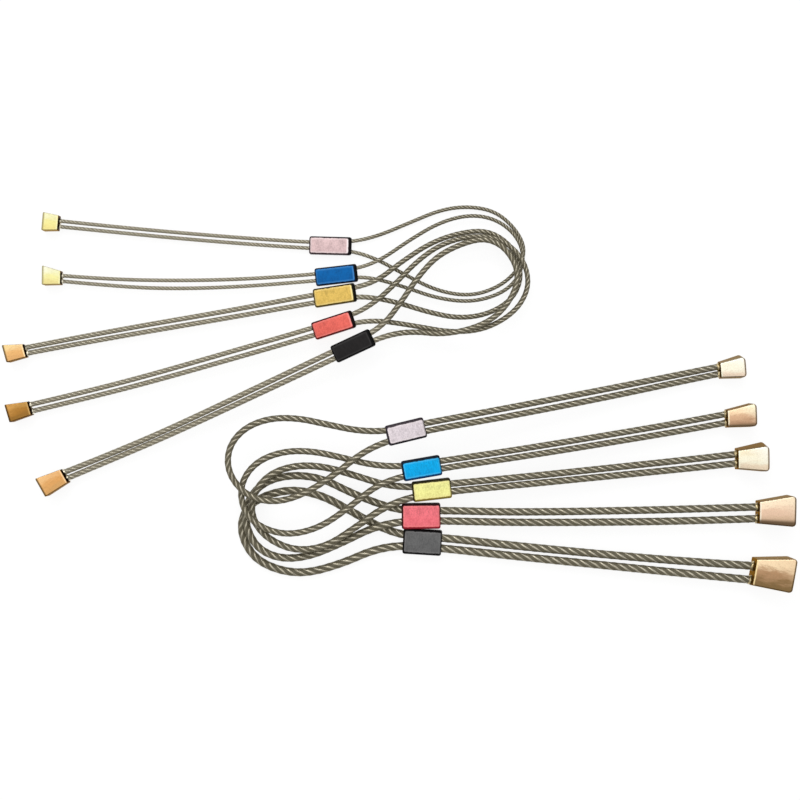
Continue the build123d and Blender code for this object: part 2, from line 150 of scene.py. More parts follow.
STRAIGHT = [
    Nut(
        name="straight_1", rope=1.5, rope_length=401, seat=(-135, 71), heading=-5,
        wedge_length=6, small_width=5.9, big_width=7.2, lean=0,
        route=[
            (-138.1, 72.3, 2.8), (-118.6, 70.2, 2.8), (-88.8, 67.4, 2.4), (-58.9, 65, 2.1),
            (-35.4, 63.5, 1.9), (-19.1, 63.5, 1.7), (-8, 66, 1.4), (5, 71.5, 1.2), (17, 76.5, 1.2),
            (28, 78, 1.2), (39, 76, 1.2), (47, 69, 1.2), (51, 61, 1.2), (48.5, 53, 1.2), (41, 46, 1.2),
            (29.5, 42, 1.2), (16, 44, 1.2), (3, 50.5, 1.2), (-8.5, 57, 1.2), (-19.1, 60.3, 1.7),
            (-35.4, 61.1, 1.9), (-58.9, 62.7, 2.1), (-88.8, 65.1, 2.4), (-119.4, 68.1, 2.8),
            (-138.1, 70, 2.8),
        ],
    ),
    Nut(
        name="straight_2", rope=1.5, rope_length=398, seat=(-134, 49.2), heading=-1,
        wedge_length=7, small_width=5.4, big_width=7.6, lean=-0.8,
        route=[
            (-136.9, 50.4, 2.9), (-120.2, 49, 2.9), (-94.7, 48.1, 2.9), (-64.8, 48.5, 2.9),
            (-34.2, 50.5, 2.9), (-16.2, 52.8, 3), (-6.5, 56.5, 3), (5, 64.5, 3), (17, 71.5, 3),
            (29, 74.5, 3), (39.5, 72.5, 3), (47.5, 66, 3), (50.5, 57.5, 3), (48, 49, 3), (41.5, 43, 3),
            (29.5, 39.5, 3), (16, 41, 3), (3, 45.5, 3), (-7, 48.5, 3), (-15.6, 49.8, 3),
            (-33.4, 48, 2.9), (-64.8, 45.5, 2.9), (-94.7, 44.8, 2.9), (-120.2, 46.6, 2.9),
            (-136.9, 48.2, 2.9),
        ],
    ),
    Nut(
        name="straight_3", rope=2, rope_length=430, seat=(-148.3, 20.2), heading=15.5,
        wedge_length=7.7, small_width=5.3, big_width=7.1, lean=-0.8,
        route=[
            (-151.6, 20.8, 3), (-133.7, 24.3, 3), (-104.6, 29.7, 3.4), (-67.1, 36.1, 3.8),
            (-34.1, 42.3, 4.3), (-17.4, 45, 4.6), (-8, 48, 5), (1.5, 55.5, 5.05), (13, 63, 5.05),
            (24.5, 67, 5.05), (35.5, 68, 5.05), (44, 63, 5.05), (48, 56, 5.05), (49, 48, 5.05),
            (45, 40, 5.05), (35.5, 34.5, 5.05), (24, 33, 5.05), (12, 35.5, 5.05), (1, 39, 5.05),
            (-8, 41, 5), (-16.6, 41.8, 4.6), (-33.3, 39.3, 4.3), (-67.1, 33.3, 3.8), (-104.6, 27, 3.4),
            (-133.3, 21.9, 3), (-151.2, 18.5, 3),
        ],
    ),
    Nut(
        name="straight_4", rope=2, rope_length=443, seat=(-146.2, -2.7), heading=16.5,
        wedge_length=8.7, small_width=5.5, big_width=7.3, lean=-0.4,
        route=[
            (-150, -2.1, 3.3), (-130.5, 2.4, 3.3), (-102.5, 9.4, 4.3), (-68.6, 19.1, 5.4),
            (-34.4, 28.9, 6.3), (-18.1, 34.2, 6.8), (-10, 38.5, 7.2), (-1.5, 46, 7.35), (7, 55, 7.35),
            (16.5, 62, 7.35), (28, 65.5, 7.35), (38.5, 65, 7.35), (45.5, 61, 7.35), (50.5, 54.5, 7.35),
            (52, 46, 7.35), (48.5, 38, 7.35), (41.5, 32, 7.35), (32, 28, 7.35), (20.5, 27.5, 7.35),
            (9, 29.5, 7.35), (0, 31, 7.35), (-8, 32, 7.2), (-16.9, 31.4, 6.8), (-33.6, 26.1, 6.3),
            (-68.2, 16.2, 5.4), (-102.1, 6.7, 4.3), (-130.1, -0.2, 3.3), (-149.6, -4.8, 3.3),
        ],
    ),
    Nut(
        name="straight_5", rope=2.2, rope_length=424, seat=(-132.3, -29.6), heading=29.5,
        wedge_length=10.1, small_width=6, big_width=8.2, lean=-0.5,
        route=[
            (-135.6, -29.3, 3.8), (-117.7, -22.3, 3.8), (-90.4, -10.8, 5.3), (-56.5, 5.2, 7),
            (-26.4, 19.4, 8.8), (-11.3, 26.4, 9.3), (-4.5, 31.5, 9.7), (1.5, 39.5, 9.75),
            (7.5, 48.5, 9.75), (15, 57, 9.75), (24.5, 62, 9.75), (34, 64.5, 9.75), (41.5, 61.5, 9.75),
            (46.5, 54.5, 9.75), (47.5, 47.5, 9.75), (44, 39, 9.75), (37, 32, 9.75), (27, 28, 9.75),
            (16.5, 26.5, 9.75), (8, 27.5, 9.75), (-0.5, 27, 9.7), (-9.4, 24.3, 9.3),
            (-24.8, 17.1, 8.8), (-55.3, 2.9, 7), (-89.4, -12.9, 5.3), (-116.7, -24.4, 3.8),
            (-134.4, -31.8, 3.8),
        ],
    ),
]

OFFSET = [
    Nut(
        name="offset_1", rope=2.5, rope_length=431, seat=(128.2, 12.35), heading=184.5,
        wedge_length=9.8, small_width=5.9, big_width=8.2, lean=0.6,
        route=[
            (133.5, 15, 3.3), (116.4, 11.6, 3.3), (84.2, 5.2, 6), (40.4, -3.1, 9.6),
            (10.7, -8.5, 12.2), (-4.2, -11.7, 13.3), (-15.5, -11.5, 14.4), (-27.5, -9, 14.65),
            (-39, -6.5, 14.65), (-50, -6.5, 14.65), (-59.5, -10, 14.65), (-65.5, -16.5, 14.65),
            (-67, -24.5, 14.65), (-64, -32, 14.65), (-57, -38, 14.65), (-47, -39.5, 14.65),
            (-36, -36, 14.65), (-24.5, -28.5, 14.65), (-14, -20, 14.4), (-3.6, -15.3, 13.3),
            (11.5, -11.3, 12.2), (40.4, -6.5, 9.6), (84.2, 1.9, 6), (116.4, 8.7, 3.3),
            (133.5, 12.1, 3.3),
        ],
    ),
    Nut(
        name="offset_2", rope=2.5, rope_length=424, seat=(130.8, -6.8), heading=182,
        wedge_length=11.2, small_width=6.6, big_width=9.3, lean=1.3,
        route=[
            (136.2, -3.9, 3.8), (118.3, -7.4, 3.8), (88.1, -12.5, 6), (46.3, -19.2, 8.4),
            (17.1, -23.4, 10.4), (1.7, -25.7, 11.2), (-10, -25, 11.7), (-22, -22, 11.75),
            (-33.5, -19.5, 11.75), (-44.5, -19.5, 11.75), (-54.5, -23, 11.75), (-60.5, -29.5, 11.75),
            (-62, -37, 11.75), (-59.5, -45, 11.75), (-52, -50.5, 11.75), (-42, -52.5, 11.75),
            (-30.5, -49.5, 11.75), (-19.5, -42, 11.75), (-8.5, -33, 11.7), (2.5, -29.2, 11.2),
            (17.8, -26.2, 10.4), (46.7, -22.2, 8.4), (88.1, -15.7, 6), (118.7, -10.7, 3.8),
            (136.6, -7.3, 3.8),
        ],
    ),
    Nut(
        name="offset_3", rope=2.7, rope_length=419, seat=(134.8, -23), heading=180.5,
        wedge_length=11.9, small_width=7.4, big_width=10.2, lean=0.3,
        route=[
            (139.2, -20.4, 4.3), (121.4, -22.5, 4.3), (90.2, -25.7, 5.6), (50.4, -29.8, 7.1),
            (21.5, -32.4, 8.3), (6, -34, 8.6), (-5, -33, 8.75), (-16, -29.5, 8.75), (-27.5, -26, 8.75),
            (-38.5, -25, 8.75), (-48.5, -27.5, 8.75), (-55, -33, 8.75), (-58, -40, 8.75),
            (-57, -47.5, 8.75), (-51, -54.5, 8.75), (-40.5, -59, 8.75), (-28.5, -57.5, 8.75),
            (-17, -50, 8.75), (-6, -42, 8.75), (6, -37.4, 8.6), (21.8, -35.4, 8.3), (50.4, -32.8, 7.1),
            (90.2, -29, 5.6), (121.8, -26, 4.3), (139.6, -24, 4.3),
        ],
    ),
    Nut(
        name="offset_4", rope=3, rope_length=442, seat=(143, -43.9), heading=178.7,
        wedge_length=13.8, small_width=8.8, big_width=12.4, lean=1,
        route=[
            (148.7, -41.7, 4.8), (130, -42.3, 4.8), (98.2, -43.2, 5.1), (47.3, -44, 5.4),
            (17.2, -43.2, 5.6), (2.1, -43.4, 5.6), (-8, -40.5, 5.6), (-19, -36, 5.6),
            (-30, -30.5, 5.6), (-41, -29, 5.6), (-51, -31, 5.6), (-57.5, -36, 5.6),
            (-60.5, -42.5, 5.6), (-60, -50.5, 5.6), (-55.5, -58.5, 5.6), (-46.5, -62.5, 5.6),
            (-35, -61.5, 5.6), (-22, -56, 5.6), (-10, -50, 5.6), (2.1, -47.4, 5.6), (17.2, -47.3, 5.6),
            (47.3, -48.1, 5.4), (98.2, -47.8, 5.1), (130, -47, 4.8), (148.7, -46.3, 4.8),
        ],
    ),
    Nut(
        name="offset_5", rope=3.2, rope_length=441, seat=(140.8, -67.3), heading=170,
        wedge_length=15.2, small_width=10.6, big_width=13.8, lean=1.4,
        route=[
            (146.5, -65.6, 5.5), (127.9, -64.4, 5.5), (96.3, -62.1, 4.7), (48.2, -57.6, 3.9),
            (18, -54.2, 3.2), (2.9, -53.6, 2.8), (-8.5, -49.5, 2.2), (-19, -43.5, 2.2),
            (-30, -37.5, 2.2), (-41.5, -35, 2.2), (-52, -37, 2.2), (-59.5, -41.5, 2.2),
            (-62.5, -48, 2.2), (-61.5, -55.5, 2.2), (-56.5, -63, 2.2), (-47, -67.5, 2.2),
            (-36, -68.5, 2.2), (-22, -64.5, 2.2), (-9.5, -59, 2.2), (2.3, -57.2, 2.8),
            (17.6, -58.4, 3.2), (48.2, -61.7, 3.9), (96.3, -66.5, 4.7), (127.9, -69.6, 5.5),
            (146.5, -71.4, 5.5),
        ],
    ),
]


def linear(hex_colour):
    """An sRGB hex colour as linear red, green, blue and a full alpha."""
    channels = [int(hex_colour[place : place + 2], 16) / 255 for place in (1, 3, 5)]
    return (*(c / 12.92 if c <= 0.04045 else ((c + 0.055) / 1.055) ** 2.4 for c in channels), 1.0)


@dataclass
class WedgeLook:
    """The colours of one wedge, all brass or bronze in different states of polishing, with painted light
    and shade.
    """

    # top, middle and bottom run across the face: partly patina, partly painted light and shade
    top: str  # of the face, on the side away from the reader
    middle: str
    bottom: str
    glare: str  # painted highlight on the face's corner, at the big end and on the far side
    line: str  # painted shade: a dark line along the face's near edge
    line_width: float  # in millimetres
    # brown of the flanks, partly handling and partly painted shade; also the grain's dull flecks
    flank: str
    highlight_rim: str  # painted highlight on the face, at the small end


@dataclass
class SleeveLook:
    """The dye of one anodised sleeve, with its painted shade and highlights."""

    face: str
    far_edge: str  # painted shade on the rolled edge on the far side
    near_edge: str  # painted shade on the rolled edge on the near side
    # painted shade on the end towards the loop
    loop_end: str
    highlight_rim: str  # painted highlight: a bright line round the flat face
    slot: str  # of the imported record
    glint: float = 0.0  # share of the painted highlight's colour in a painted glint along the end towards the loop


SHADED_SOLDERED_BRASS = "#2A1A0A"  # small end, burnt round the solder and darkened with painted shade
SOLDERED_BRONZE = "#80602E"
SHEER_BRASS = "#D8B890"  # what both metals turn to at a sheer angle

WEDGE_LOOKS = {
    name: WedgeLook(*look)
    for name, *look in (
        ("straight_1", "#EFEBB8", "#F2E99C", "#F0E294", "#F5F3C6", "#A89C68", 0.15, "#AE9A6A", "#F7F0B4"),
        ("straight_2", "#F3F1C4", "#F3EDA6", "#EADC96", "#F9F8DE", "#B0A878", 0.15, "#A08E64", "#F6F2B8"),
        ("straight_3", "#F0CC94", "#E8B474", "#DDAA6E", "#F8D89A", "#54401C", 0.3, "#86683C", "#FBDCA8"),
        ("straight_4", "#C0924E", "#AE7B38", "#9A6F34", "#D6A058", "#3A2810", 0.3, "#6E4E22", "#C8A060"),
        ("straight_5", "#E7B47A", "#DDA463", "#D3A266", "#F2C488", "#4A3A1A", 0.3, "#866640", "#F6CC98"),
        ("offset_1", "#EDE6D0", "#FCF6E0", "#F6E0C8", "#FAF8EC", "#8C7252", 0.5, "#968F7E", "#FFF8E0"),
        ("offset_2", "#F2D4AE", "#D9B18E", "#C09878", "#FCF3D4", "#846C52", 1.3, "#86745A", "#FBEBCC"),
        ("offset_3", "#EEE2C4", "#FAF4DC", "#F4E0C4", "#FCFAF0", "#8A6C48", 0.45, "#8C7C66", "#FFF8DC"),
        ("offset_4", "#F8E2C4", "#EAC8AC", "#DDBD9E", "#F6E2C4", "#5A442C", 2.3, "#86795E", "#FFF0D8"),
        ("offset_5", "#F2D8B2", "#B48E6A", "#8A6E48", "#ECD0AA", "#705834", 0.5, "#8E8064", "#F8DFA8"),
    )
}

SLEEVE_LOOKS = {
    name: SleeveLook(*look)
    for name, *look in (
        ("straight_1", "#E4C6C6", "#2A1C20", "#4A363C", "#0E080A", "#FFF4F4", "sleeve_lilac", 0.9),
        ("straight_2", "#0464AC", "#061630", "#0A2A58", "#03080F", "#5AA0E0", "sleeve_blue", 0.25),
        ("straight_3", "#EAC566", "#3A2E08", "#6A5616", "#0E0A02", "#FFEDA8", "sleeve_gold", 0.8),
        ("straight_4", "#F07064", "#4A0A0C", "#7A1618", "#120203", "#FF9A94", "sleeve_red", 0.6),
        ("straight_5", "#242222", "#060506", "#080708", "#030203", "#4A4848", "sleeve_black"),
        ("offset_1", "#EADFE4", "#3A3238", "#2A262C", "#4A424E", "#FFF4F4", "sleeve_lilac"),
        ("offset_2", "#00B2F4", "#061828", "#0C4680", "#0A2A4A", "#6AD0FF", "sleeve_blue"),
        ("offset_3", "#FFFCA4", "#2E280C", "#A08C3C", "#4A4018", "#FFEDA8", "sleeve_gold"),
        ("offset_4", "#FC7E88", "#28080C", "#A82434", "#4A1018", "#FF9A94", "sleeve_red"),
        ("offset_5", "#6C6C6C", "#080708", "#121012", "#0C0A0C", "#8A8888", "sleeve_black"),
    )
}


# What most nodes of a kind have: a mix is of colours, and a share changes softly.
USUAL_SETTINGS = {"Mix": {"data_type": "RGBA"}, "MapRange": {"interpolation_type": "SMOOTHSTEP"}}


def output_of(node):
    """The first socket that a node gives out as it is set."""
    return next(socket for socket in node.outputs if socket.enabled)


def add_node(tree, kind, inputs=(), **settings):
    """Adds a node with its settings. Its inputs, in order or by name, are values, sockets or nodes."""
    added = tree.nodes.new(f"ShaderNode{kind}")
    for name, value in {**USUAL_SETTINGS.get(kind, {}), **settings}.items():
        setattr(added, name, value)
    named = inputs if isinstance(inputs, dict) else dict(enumerate(inputs))
    for place, value in named.items():
        if isinstance(place, str):
            place = next(n for n, s in enumerate(added.inputs) if s.enabled and s.name == place)
        if isinstance(value, bpy.types.Node):
            value = output_of(value)
        if isinstance(value, bpy.types.NodeSocket):
            tree.links.new(value, added.inputs[place])
        else:
            added.inputs[place].default_value = value
    return added


def new_material(name, metallic, roughness, sheer=(1, 1, 1, 1)):
    """The function that adds a node to a new material, and the one that links its shader.

    sheer is the colour that a metal shows at a sheer angle.
    """
    material = bpy.data.materials.new(name)
    material.use_nodes = True
    tree = material.node_tree
    shader = tree.nodes["Principled BSDF"]
    shader.inputs["Metallic"].default_value = metallic
    shader.inputs["Roughness"].default_value = roughness
    shader.inputs["Specular Tint"].default_value = sheer

    def finish(**links):
        for name, source in links.items():
            tree.links.new(output_of(source), shader.inputs[name.replace("_", " ")])
        return material

    return functools.partial(add_node, tree), finish


def drawn_wire(look):
    """Drawn stainless wires laid up in strands.

    Hands and rock have worn the crests on top bright. Painted shade darkens the sides where they
    turn from the top, and grime with painted shade fills the gaps, so the eye gets one bright patch
    where each strand comes over the top.
    """
    node, finish = new_material("drawn_stainless_wire", 1.0, 0.42)
    coordinates = node("TexCoord").outputs
    round_strand, along, _ = node("SeparateXYZ", {"Vector": coordinates["UV"]}).outputs
    facing = node("SeparateXYZ", {"Vector": coordinates["Normal"]}).outputs["Z"]
    double = node("Math", [round_strand, 2, -1], operation="MULTIPLY_ADD")
    off_crest = node("Math", [double], operation="ABSOLUTE")
    film = node("TexNoise", {"Vector": coordinates["Object"], "Scale": 1 / (3 * MM), "Detail": 3})
    steel = node("Mix", {"Factor": film, "A": look.wire_light, "B": look.wire_dull})
    # The wires cross the strand's slant, and show as fine dark lines.
    turned = node("Math", [round_strand, WIRES * math.tau], operation="MULTIPLY")
    wire_turn = node("Math", [along, WIRE_SLANT, turned], operation="MULTIPLY_ADD")
    wires = node("Math", [wire_turn], operation="SINE")
    between = node("MapRange", {"Value": wires, "From Min": -0.3, "From Max": -1.0, "To Max": 0.4})
    steel = node("Mix", {"Factor": between, "A": steel, "B": look.wire_grime_and_shade})
    # Painted shade: the strand darkens towards the grime colour where its surface turns from the top.
    side = node(
        "MapRange",
        {"Value": facing, "From Min": look.unshaded_above, "From Max": look.shaded_below, "To Max": 0.86},
    )
    # The gaps between strands darken too: partly grime, partly painted shade.
    gap = node("MapRange", {"Value": off_crest, "From Min": look.crest_width, "From Max": 0.36})
    # Each vertex's share of grime and painted shade: more on the loops, less or none on clean legs.
    dirt_and_shade_share = node("Attribute", attribute_name="dirt").outputs["Fac"]
    dirt = node("Math", [side, gap], operation="MAXIMUM")
    dirt = node("Math", [dirt, dirt_and_shade_share], operation="ADD", use_clamp=True)
    colour = node("Mix", {"Factor": dirt, "A": steel, "B": look.wire_grime_and_shade})
    rough = node("Math", [gap, 0.3, 0.38], operation="MULTIPLY_ADD")
    bump = node("Bump", {"Height": wires, "Strength": 0.35, "Distance": 0.05 * MM})
    return finish(Base_Color=colour, Roughness=rough, Normal=bump)


def packed_core(look):
    """Old grease, brass dust and grit packed between the strands: dark and nearly matt. Its darkness
    is partly painted shade in the gaps.

    On the clean ropes the same gaps hold pale dry dust.
    """
    node, finish = new_material("packed_grease", 0.0, 0.6)
    place = node("TexCoord").outputs["Object"]
    grit = node("TexNoise", {"Vector": place, "Scale": 1 / (0.5 * MM), "Detail": 3})
    colour = node("Mix", {"Factor": grit, "A": look.grease_and_shade_dark, "B": look.wire_grime_and_shade})
    dirt_and_shade_share = node("Attribute", attribute_name="dirt").outputs["Fac"]
    dusty = node(
        "MapRange", {"Value": dirt_and_shade_share, "From Min": 0.0, "From Max": -1.0, "To Max": 0.42},
        interpolation_type="LINEAR",
    )
    colour = node("Mix", {"Factor": dusty, "A": colour, "B": look.wire_dull})
    bump = node("Bump", {"Height": grit, "Strength": 0.4, "Distance": 0.05 * MM})
    return finish(Base_Color=colour, Normal=bump)


def worked_brass(nut, look, cast):
    """Brass bar sawn to a wedge, or bronze cast as one and tumbled.

    Painted light and shade, with some patina, change the face's colour from one side to the other.
    The flanks keep the brown of handling, deepened with painted shade, and drawing marks or cast grain
    break up every reflection.
    """
    kind = "cast_bronze" if cast else "sawn_brass"
    node, finish = new_material(f"{kind}_{nut.name}", 1.0, 0.36, linear(SHEER_BRASS))
    flip = 1 if cast else -1
    coordinates = node("TexCoord").outputs
    # Millimetres from the middle of the small end: out along the rope, towards the reader, and up.
    place = node(
        "Mapping",
        {
            "Vector": coordinates["Object"],
            "Location": (*nut.seat, 0),
            "Rotation": (0, 0, math.radians(nut.heading)),
            "Scale": (MM, flip * MM, MM),
        },
        vector_type="TEXTURE",
    )
    along, across, _ = node("SeparateXYZ", {"Vector": place}).outputs
    # 0 at the edge away from the reader and 1 at the other, on a face that widens and leans.
    length = nut.wedge_length / MM
    skew = -flip * nut.lean / MM / length
    lean = node("Math", [along, skew, across], operation="MULTIPLY_ADD")
    width = node(
        "Math",
        [along, (nut.small_width - nut.big_width) / MM / length, nut.small_width / MM],
        operation="MULTIPLY_ADD",
    )
    share = node("Math", [lean, width], operation="DIVIDE")
    lower = node("Math", [share, 0.5])
    # Clouds 2 mm wide, drawn out along the wedge by its polishing.
    drawn = node("Mapping", {"Vector": place, "Scale": (0.3, 1.2, 1)})
    cloud = node("TexNoise", {"Vector": drawn, "Scale": 0.5, "Detail": 6, "Roughness": 0.65})
    drift = node("Math", [cloud, 0.9, -0.45], operation="MULTIPLY_ADD")
    drifting = node("Math", [lower, drift])
    # Painted light and shade, with some patina: top, middle and bottom colours follow each other across
    # the face.
    first = node("MapRange", {"Value": drifting, "From Min": 0.15, "From Max": 0.5})
    second = node("MapRange", {"Value": drifting, "From Min": 0.5, "From Max": 0.9})
    # A painted highlight, strongest at the big end's far corner.
    corner = node("Math", [along, -1 / length], operation="MULTIPLY")
    corner = node("Math", [corner, drifting], operation="SUBTRACT")
    painted_glare = node("MapRange", {"Value": corner, "From Min": 0.0, "From Max": 1.0})
    # A painted highlight along the small end, 0.5 mm wide, and painted shade in dark lines along the near
    # edge and the big end.
    highlight_rim = node("MapRange", {"Value": along, "From Min": -0.7, "From Max": -0.35})
    line_from = 1 - look.line_width / (nut.big_width / MM)
    soft = (0.12 + 0.4 * look.line_width) / (nut.big_width / MM)
    line = node(
        "MapRange",
        {"Value": lower, "From Min": line_from - soft, "From Max": line_from + soft, "To Max": 0.9},
    )
    # Painted shade along the big end.
    big_end_shade = node(
        "MapRange",
        {"Value": along, "From Min": 1.0 - length, "From Max": 0.45 - length, "To Max": 0.85},
    )
    # The flanks take their brown, partly handling and partly painted shade.
    out, normal = nut.out(), coordinates["Normal"]
    beside = node("VectorMath", [normal, (-out.y, out.x, 0)], operation="DOT_PRODUCT")
    aside = node("Math", [beside], operation="ABSOLUTE")
    flank = node("MapRange", {"Value": aside, "From Min": 0.6, "From Max": 0.9})
    # The small end's colour: on the brass, painted shade over the burn round the solder.
    ahead = node("VectorMath", [normal, out], operation="DOT_PRODUCT")
    small_end = node("MapRange", {"Value": ahead, "From Min": 0.6, "From Max": 0.95})
    # Marks of 0.15 mm drawn along the bar, or grain of 0.35 mm left by the mould.
    stretch = (1, 1, 1) if cast else (0.08, 1, 1)
    marks = node("Mapping", {"Vector": place, "Scale": stretch})
    grain = node("TexNoise", {"Vector": marks, "Scale": 1 / (0.35 if cast else 0.15), "Detail": 3})
    dull = node("MapRange", {"Value": grain, "From Min": 0.45, "From Max": 0.75, "To Max": 0.22})
    face = linear(look.top)
    for cover, colour in (
        (first, look.middle),
        (second, look.bottom),
        (painted_glare, look.glare),
        (highlight_rim, look.highlight_rim),
        (line, look.line),
        (big_end_shade, look.line),
        (flank, look.flank),
        (small_end, SOLDERED_BRONZE if cast else SHADED_SOLDERED_BRASS),
        (dull, look.flank),
    ):
        face = node("Mix", {"Factor": cover, "A": face, "B": linear(colour)})
    rough = node("Math", [grain, 0.25, 0.28], operation="MULTIPLY_ADD")
    bump = node("Bump", {"Height": grain, "Strength": 0.25, "Distance": 0.04 * MM})
    return finish(Base_Color=face, Roughness=rough, Normal=bump)


def run_solder(name, metal, flux, spread):
    """Silver solder that froze in soft lumps: bright metal with brown flux over a share of it."""
    node, finish = new_material(name, 1.0, 0.35)
    coordinates = node("TexCoord").outputs
    lumps = node("TexNoise", {"Vector": coordinates["Object"], "Scale": 1 / (0.9 * MM), "Detail": 3})
    along = node("SeparateXYZ", {"Vector": coordinates["UV"]}).outputs["Y"]
    foot = node("MapRange", {"Value": along, "From Min": 0.6, "From Max": 0.0})
    drift = node("Math", [lumps, 2.2, spread - 1.1], operation="MULTIPLY_ADD")
    cover = node("Math", [foot, drift])
    brown = node("MapRange", {"Value": cover, "From Min": 0.2, "From Max": 0.7})
    colour = node("Mix", {"Factor": brown, "A": linear(metal), "B": linear(flux)})
    bump = node("Bump", {"Height": lumps, "Strength": 0.5, "Distance": 0.15 * MM})
    return finish(Base_Color=colour, Normal=bump)


def sleeve_frame(nut):
    """The sleeve's middle, its ways to the loop, towards the reader and up, and its half sizes.

    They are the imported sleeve's, made longer and wider by the amounts above.
    """
    tail, loop = nut.sleeve_ends()
    middle, way = (tail + loop) / 2, (loop - tail).normalized()
    level = UP.cross(way).normalized()
    if level.y > 0:
        level.negate()
    up = way.cross(level)
    if up.z < 0:
        up.negate()
    axes = (way, level, up)
    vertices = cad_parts[f"{nut.name}_sleeve"].data.vertices
    half_length, half_width, half_height = (
        max(abs((vertex.co - middle).dot(axis)) for vertex in vertices) for axis in axes
    )
    middle = middle + way * SLEEVE_REACH / 2
    return middle, axes, (half_length + SLEEVE_REACH / 2, half_width + SLEEVE_SWELL, half_height)


def anodised_tube(nut, look, edges):
    """Aluminium tube, dyed, anodised and pressed flat on the rope.

    The flat faces are satin with faint cross marks from the press. Painted shade darkens the dye where
    the wall rolls over, with a painted highlight line inside that, and painted shade darkens the end
    towards the loop.
    """
    node, finish = new_material(f"anodised_aluminium_{nut.name}", 0.8, 0.38)
    middle, (way, level, _), (half_length, half_width, _) = sleeve_frame(nut)
    far, near, loop_end, tail = edges
    # The flat face lies between the edges' painted shade, in millimetres.
    face_middle = middle + way * MM * (tail - loop_end) / 2 + level * MM * (far - near) / 2
    face_corner = 0.7
    face_length = half_length / MM - (tail + loop_end) / 2 - face_corner
    face_width = half_width / MM - (far + near) / 2 - face_corner
    coordinates = node("TexCoord").outputs
    placed = node("VectorMath", [coordinates["Object"], face_middle], operation="SUBTRACT")
    along = node("VectorMath", [placed, way / MM], operation="DOT_PRODUCT")
    across = node("VectorMath", [placed, level / MM], operation="DOT_PRODUCT")
    # How far a point lies beyond the face's rounded outline, or inside it where that is negative.
    past_end = node("Math", [node("Math", [along], operation="ABSOLUTE"), -face_length])
    past_side = node("Math", [node("Math", [across], operation="ABSOLUTE"), -face_width])
    corner = node(
        "CombineXYZ",
        {
            "X": node("Math", [past_end, 0], operation="MAXIMUM"),
            "Y": node("Math", [past_side, 0], operation="MAXIMUM"),
        },
    )
    inside = node("Math", [past_end, past_side], operation="MAXIMUM")
    inside = node("Math", [inside, 0], operation="MINIMUM")
    beyond = node("Math", [node("VectorMath", [corner], operation="LENGTH"), inside])
    uneven = node("TexNoise", {"Vector": coordinates["Object"], "Scale": 1 / (1.2 * MM), "Detail": 3})
    uneven = node("Math", [uneven, 0.5, -0.25 - face_corner], operation="MULTIPLY_ADD")
    beyond = node("Math", [beyond, uneven])
    nearer = node(
        "MapRange", {"Value": across, "From Min": -0.5, "From Max": 0.5}, interpolation_type="LINEAR"
    )
    worn_dye_and_edge_shade = node("Mix", {"Factor": nearer, "A": linear(look.far_edge), "B": linear(look.near_edge)})
    # Press marks and scratches of 0.25 mm across the tube, clouds of wear 3 mm wide, and pits.
    squeezed = node("Math", [across, 0.1], operation="MULTIPLY")
    drawn = node("CombineXYZ", {"X": along, "Y": squeezed})
    marks = node("TexNoise", {"Vector": drawn, "Scale": 4, "Detail": 3})
    cloud = node("TexNoise", {"Vector": coordinates["Object"], "Scale": 1 / (3 * MM), "Detail": 4})
    pits = node("TexNoise", {"Vector": coordinates["Object"], "Scale": 1 / (0.6 * MM), "Detail": 2})
    tone = node("Math", [cloud, 0.35], operation="MULTIPLY")
    tone = node("Math", [marks, 0.3, tone], operation="MULTIPLY_ADD")
    tone = node("Math", [pits, 0.35, tone], operation="MULTIPLY_ADD")
    worn = node(
        "MapRange", {"Value": tone, "From Min": 0.42, "From Max": 0.64, "To Max": 0.36},
        interpolation_type="LINEAR",
    )
    # From the face outwards: a painted highlight rim, a painted glint at the loop's end, painted shade on
    # the rolled edge and painted shade on the loop's end.
    light = node("MapRange", {"Value": beyond, "From Min": -0.8, "From Max": -0.3, "To Max": 0.32})
    loop_side = node("Math", [along, 0], operation="GREATER_THAN")
    glint = node(
        "MapRange", {"Value": past_end, "From Min": -0.1, "From Max": 0.2, "To Max": look.glint},
        interpolation_type="LINEAR",
    )
    glint = node("Math", [glint, loop_side], operation="MULTIPLY")
    # Painted shade on the rolled edges.
    shaded_edge = node("MapRange", {"Value": beyond, "From Min": -0.2, "From Max": 0.12})
    # Painted shade over the end towards the loop.
    loop_end_shade = node(
        "MapRange",
        {"Value": past_end, "From Min": face_corner - 0.1, "From Max": face_corner + 0.15},
        interpolation_type="LINEAR",
    )
    loop_end_shade = node("Math", [loop_end_shade, loop_side], operation="MULTIPLY")
    dye, highlight_rim = linear(look.face), linear(look.highlight_rim)
    for cover, colour in (
        (worn, worn_dye_and_edge_shade), (light, highlight_rim), (glint, highlight_rim), (shaded_edge, worn_dye_and_edge_shade), (loop_end_shade, linear(look.loop_end))
    ):
        dye = node("Mix", {"Factor": cover, "A": dye, "B": colour})
    rough = node("Math", [marks, 0.3, 0.24], operation="MULTIPLY_ADD")
    bump = node("Bump", {"Height": marks, "Strength": 0.2, "Distance": 0.03 * MM})
    return finish(Base_Color=dye, Roughness=rough, Normal=bump)


def oblong_ring(half_width, half_height, radius):
    """Corners of a level oblong with rounded corners, as pairs across and up."""
    ring = []
    for quarter in range(4):
        for step in range(SLEEVE_CORNER + 1):
            angle = math.tau / 4 * (quarter + step / SLEEVE_CORNER)
            right = 1 if quarter in (0, 3) else -1
            high = 1 if quarter < 2 else -1
            ring.append(
                (right * (half_width - radius) + radius * math.cos(angle),
                 high * (half_height - radius) + radius * math.sin(angle))
            )
    return ring


